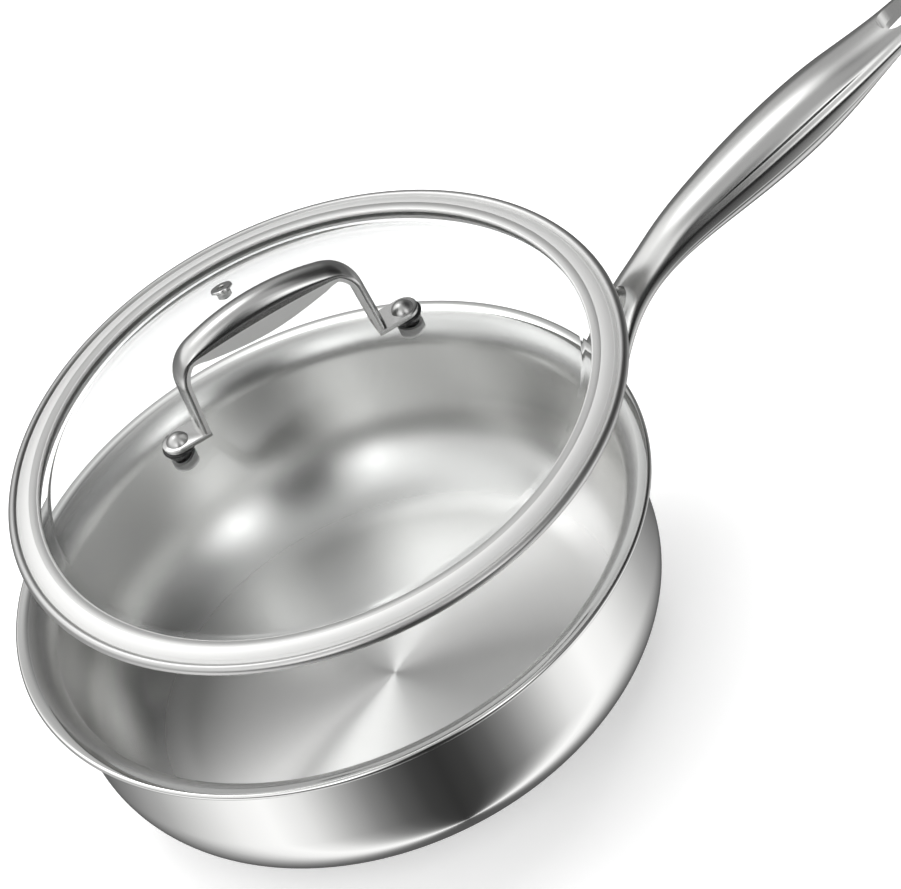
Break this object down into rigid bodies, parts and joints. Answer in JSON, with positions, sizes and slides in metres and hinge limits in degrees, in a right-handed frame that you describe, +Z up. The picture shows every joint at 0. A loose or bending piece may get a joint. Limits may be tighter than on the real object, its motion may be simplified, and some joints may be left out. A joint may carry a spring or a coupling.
{
  "type": "saucepan with glass lid",
  "caption": "Shallow clad steel saucepan with a flared rim and a forked hollow handle, and a domed glass lid with a rolled steel band, an arched steel handle and a steam vent, lifted off",
  "frame": {"origin": "middle of the pan's underside", "axes": "+Z up out of the pan's mouth, +X along the long handle, +Y to the left of the handle seen from its tail"},
  "size_m": [0.4459, 0.2528, 0.1972],
  "materials": {
    "polished_steel": "mirror polished stainless steel",
    "satin_steel": "satin stainless steel with fine circular brushing",
    "core_aluminium": "plain, hidden between the two steels",
    "clear_glass": "clear tempered glass",
    "black_phenolic": "glossy black heat-proof plastic",
    "clear_silicone": "soft translucent silicone"
  },
  "bodies": {
    "pan": {"pan_inner_ply": "satin_steel", "pan_core_ply": "core_aluminium", "pan_outer_ply": "polished_steel", "handle_mount_plate": "polished_steel", "handle_upper_shell": "polished_steel", "handle_lower_shell": "polished_steel"},
    "lid": {"lid_glass": "clear_glass", "lid_band": "polished_steel", "lid_handle": "polished_steel", "lid_handle_rivets": "polished_steel", "lid_handle_spacers": "black_phenolic", "lid_inner_gaskets": "clear_silicone", "lid_backing_washers": "polished_steel", "vent_eyelet": "polished_steel", "vent_collar": "polished_steel"}
  },
  "joints": [
    {"name": "lid_lift", "type": "slide", "parent": "pan", "child": "lid", "axis": [0.3008, 0, 0.9537], "range_m": [-0.05086, 0.1]}
  ]
}
